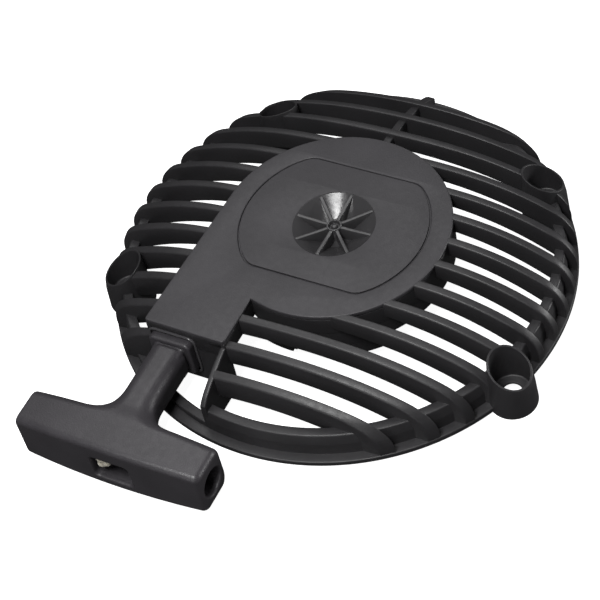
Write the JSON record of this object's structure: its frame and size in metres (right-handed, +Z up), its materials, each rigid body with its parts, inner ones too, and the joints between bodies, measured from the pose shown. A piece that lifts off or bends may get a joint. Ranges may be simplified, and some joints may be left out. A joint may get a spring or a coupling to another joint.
{
  "type": "recoil starter",
  "caption": "Pull starter with a slatted dome housing, rope pulley, spiral rewind spring, pawls and a T-shaped pull handle seated against the rim.",
  "frame": {"origin": "on the crank axis, in the plane of the four boss feet", "axes": "+Z up the crank axis from the boss feet towards the crown; -Y the way the rope is pulled; +X completes the right-handed frame"},
  "size_m": [0.2042, 0.2327, 0.0335],
  "materials": {
    "black_nylon": "fine moulded grain",
    "grip_nylon": "satin moulded",
    "acetal": "satin moulded",
    "spring_steel": "blued strip, oiled",
    "zinc_steel": "zinc plated",
    "brass": "knurled and turned",
    "sintered_bronze": "sintered, oiled",
    "braided_nylon": "braided"
  },
  "bodies": {
    "housing": {"housing": "black_nylon", "rope_eyelet": "zinc_steel", "threaded_insert": "brass", "centre_screw": "zinc_steel", "thrust_washer": "zinc_steel", "rewind_spring": "spring_steel"},
    "pulley": {"pulley": "black_nylon", "pulley_bush": "sintered_bronze", "spring_cup": "zinc_steel", "rope_coil": "braided_nylon", "pulley_knot": "braided_nylon", "pawl_pin_a": "zinc_steel", "pawl_pin_b": "zinc_steel"},
    "retainer": {"pawl_retainer": "acetal", "brake_spring": "spring_steel"},
    "pawl_a": {"pawl_a": "acetal"},
    "pawl_b": {"pawl_b": "acetal"},
    "handle": {"handle_grip": "grip_nylon", "grip_knot": "braided_nylon", "rope_lead": "braided_nylon"}
  },
  "joints": [
    {"name": "handle_pull", "type": "slide", "parent": "housing", "child": "handle", "axis": [0, -1, 0], "range_m": [0, 1.2], "stiffness_N_per_m": 8, "springref_m": -1.5},
    {"name": "pulley_spin", "type": "hinge", "parent": "housing", "child": "pulley", "pos_m": [0, 0, 0.0175], "axis": [0, 0, 1], "range_deg": [0, 1800.5]},
    {"name": "retainer_lag", "type": "hinge", "parent": "pulley", "child": "retainer", "pos_m": [0, 0, 0.0053], "axis": [0, 0, 1], "range_deg": [-36, 0]},
    {"name": "pawl_a_swing", "type": "hinge", "parent": "pulley", "child": "pawl_a", "pos_m": [0.019, 0, 0.009], "axis": [0, 0, 1], "range_deg": [-35, 0]},
    {"name": "pawl_b_swing", "type": "hinge", "parent": "pulley", "child": "pawl_b", "pos_m": [-0.019, 0, 0.009], "axis": [0, 0, 1], "range_deg": [-35, 0]}
  ],
  "couplings": [
    {"joint": "pulley_spin", "follows": "handle_pull", "rad_per_m": 26.18},
    {"joint": "pawl_a_swing", "follows": "retainer_lag", "ratio": 0.888},
    {"joint": "pawl_b_swing", "follows": "retainer_lag", "ratio": 0.888}
  ]
}
